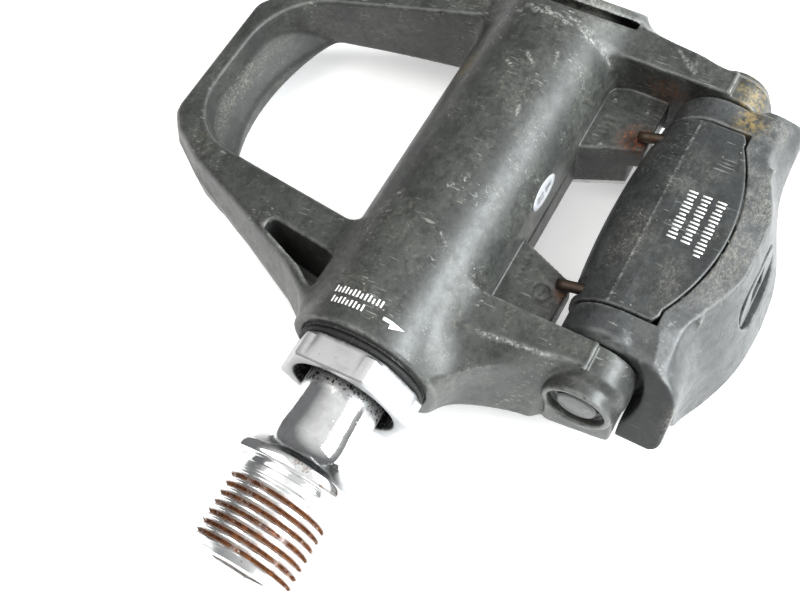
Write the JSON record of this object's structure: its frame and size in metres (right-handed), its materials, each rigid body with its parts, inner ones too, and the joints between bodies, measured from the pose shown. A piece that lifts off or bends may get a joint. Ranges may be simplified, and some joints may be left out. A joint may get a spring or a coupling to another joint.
{
  "type": "clipless pedal",
  "caption": "Left road clipless pedal: composite body with a toe hoop, a sprung rear claw on a pivot pin and a sealed axle unit that threads into the crank.",
  "frame": {"origin": "centre of the axle's flange face that seats on the crank, on the axle axis", "axes": "+X along the axle, from the crank outboard; +Y to the toe hoop; +Z out of the underside of the pedal, away from the cleat, so the pedal lies on its cleat side"},
  "size_m": [0.097, 0.091, 0.0244],
  "materials": {
    "axle_chrome": "polished, pitted and rusty in the thread",
    "bearing_steel": "ground",
    "bushing_nylon": "matte",
    "lock_bolt_alloy": "satin, dirty in the corners",
    "seal_rubber": "matte",
    "body_composite": "satin moulded composite, scratched and dusty",
    "plate_steel": "brushed, worn by the cleat",
    "screw_steel": "black oxide",
    "label_film": "gloss print film",
    "pin_steel": "black, satin",
    "claw_composite": "satin moulded composite, chalky worn edges",
    "cover_composite": "fine-grained moulded plastic",
    "spring_steel": "oiled spring steel, surface rust",
    "adjuster_steel": "zinc plated, tarnished",
    "indicator_plastic": "moulded"
  },
  "bodies": {
    "spindle": {"spindle": "axle_chrome", "cone": "bearing_steel", "lock_washer": "bearing_steel", "lock_nut": "bearing_steel"},
    "inner_balls": {"inner_balls": "bearing_steel"},
    "outer_balls": {"outer_balls": "bearing_steel"},
    "pedal_body": {"pedal_body": "body_composite", "lock_bolt": "lock_bolt_alloy", "o_ring": "seal_rubber", "dust_seal": "seal_rubber", "bearing_tube": "bearing_steel", "bushing": "bushing_nylon", "body_plate": "plate_steel", "plate_screws": "screw_steel", "label": "label_film", "pivot_pin": "pin_steel", "spring_inboard": "spring_steel", "spring_outboard": "spring_steel"},
    "rear_claw": {"rear_claw": "claw_composite", "spring_cover": "cover_composite", "pin_bushes": "bearing_steel"},
    "adjuster_bolt": {"adjuster_bolt": "adjuster_steel"},
    "adjuster_slide": {"adjuster_nut": "adjuster_steel", "tension_indicator": "indicator_plastic"}
  },
  "joints": [
    {"name": "spindle_spin", "type": "hinge", "parent": "spindle", "child": "pedal_body", "pos_m": [0.053, 0, 0], "axis": [-1, 0, 0], "continuous": true},
    {"name": "inner_ball_roll", "type": "hinge", "parent": "spindle", "child": "inner_balls", "pos_m": [0.031, 0, 0], "axis": [-1, 0, 0], "continuous": true},
    {"name": "outer_ball_roll", "type": "hinge", "parent": "spindle", "child": "outer_balls", "pos_m": [0.073, 0, 0], "axis": [-1, 0, 0], "continuous": true},
    {"name": "claw_hinge", "type": "hinge", "parent": "pedal_body", "child": "rear_claw", "pos_m": [0.053, -0.0265, -0.0003], "axis": [-1, 0, 0], "range_deg": [0, 24], "stiffness_Nm_per_rad": 3, "springref_deg": -28.65, "deforming": ["spring_inboard", "spring_outboard"]},
    {"name": "tension_turn", "type": "hinge", "parent": "rear_claw", "child": "adjuster_bolt", "pos_m": [0.053, -0.0342, -0.0044], "axis": [0, 1, 0], "range_deg": [-400, 400]},
    {"name": "tension_slide", "type": "slide", "parent": "rear_claw", "child": "adjuster_slide", "axis": [0, -1, 0], "range_m": [-0.00077, 0.00077]}
  ],
  "couplings": [
    {"joint": "inner_ball_roll", "follows": "spindle_spin", "ratio": 0.608},
    {"joint": "outer_ball_roll", "follows": "spindle_spin", "ratio": 0.608},
    {"joint": "tension_turn", "follows": "tension_slide", "rad_per_m": 8976}
  ]
}
